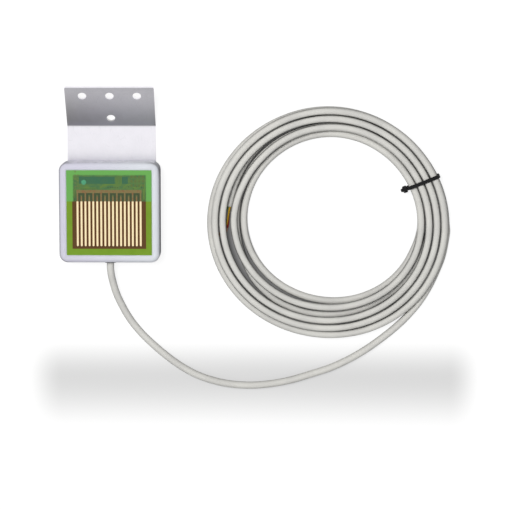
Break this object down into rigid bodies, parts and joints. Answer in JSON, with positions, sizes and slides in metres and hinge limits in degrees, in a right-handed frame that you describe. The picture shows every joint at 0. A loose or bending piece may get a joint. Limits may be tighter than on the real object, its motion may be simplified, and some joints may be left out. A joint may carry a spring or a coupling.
{
  "type": "rain sensor",
  "caption": "Square rain sensor with a heated comb electrode in its face, on a bent sheet-metal bracket, with a long signal cable wound into a tied coil.",
  "frame": {"origin": "centre of the square housing, on the underside of the bracket's plate", "axes": "+Z out of the sensing face, +Y from the housing towards the bracket's tab, the cable leaves along -Y"},
  "size_m": [0.2688, 0.2111, 0.0228],
  "materials": {
    "housing_plastic": "satin light grey",
    "jacket": "smooth light grey",
    "bracket_metal": "plain bright sheet",
    "fastener_steel": "zinc plated",
    "insert_brass": "turned",
    "seal_rubber": "soft black",
    "sealant": "smooth pale silicone",
    "board_laminate": "glass-fibre board",
    "green_mask": "glossy",
    "heater_film": "glossy brown",
    "gold_plate": "gold plated",
    "tinned_metal": "tinned",
    "chip_black": "moulded",
    "ceramic": "fired",
    "capacitor_can": "drawn can",
    "relay_iron": "plain",
    "relay_plastic": "moulded",
    "contact_bronze": "sprung sheet",
    "copper_wire": "enamelled wire",
    "core_white": "smooth",
    "core_brown": "smooth",
    "core_green": "smooth",
    "core_yellow": "smooth",
    "tie_nylon": "black nylon"
  },
  "bodies": {
    "sensor": {"housing_frame": "housing_plastic", "back_cover": "housing_plastic", "cover_gasket": "seal_rubber", "cover_screws": "fastener_steel", "board_sealant": "sealant", "bracket": "bracket_metal", "bracket_screws": "fastener_steel", "bracket_inserts": "insert_brass", "sensor_board": "board_laminate", "solder_mask": "green_mask", "heater_layer": "heater_film", "comb_signal": "gold_plate", "comb_return": "gold_plate", "plated_vias": "gold_plate", "control_pads": "green_mask", "microcontroller": "chip_black", "microcontroller_leads": "tinned_metal", "voltage_regulator": "chip_black", "heater_transistor": "chip_black", "bulk_capacitor": "capacitor_can", "capacitor_base": "chip_black", "rectifier_diodes": "chip_black", "chip_resistors": "chip_black", "ceramic_capacitors": "ceramic", "solder_joints": "tinned_metal", "relay_base": "chip_black", "relay_terminals": "tinned_metal", "relay_yoke": "relay_iron", "relay_core": "relay_iron", "relay_bobbin": "relay_plastic", "relay_winding": "copper_wire", "relay_open_contact": "contact_bronze", "relay_rest_contact": "contact_bronze", "relay_cap": "relay_plastic", "cable_grommet": "seal_rubber", "cable_tail": "jacket", "cable_clamp": "chip_black", "clamp_screws": "fastener_steel", "inner_core_white": "core_white", "inner_core_brown": "core_brown", "inner_core_green": "core_green", "inner_core_yellow": "core_yellow", "cable_lead": "jacket", "cable_coil": "jacket", "cable_tie": "tie_nylon", "end_core_white": "core_white", "end_core_brown": "core_brown", "end_core_green": "core_green", "end_core_yellow": "core_yellow", "bare_strands": "copper_wire"},
    "armature": {"relay_armature": "relay_iron", "relay_moving_contact": "contact_bronze"}
  },
  "joints": [
    {"name": "relay_armature_hinge", "type": "hinge", "parent": "sensor", "child": "armature", "pos_m": [0.012, 0.0185, 0.01035], "axis": [0, -1, 0], "range_deg": [0, 3.5], "stiffness_Nm_per_rad": 0.002, "springref_deg": -2.86}
  ]
}
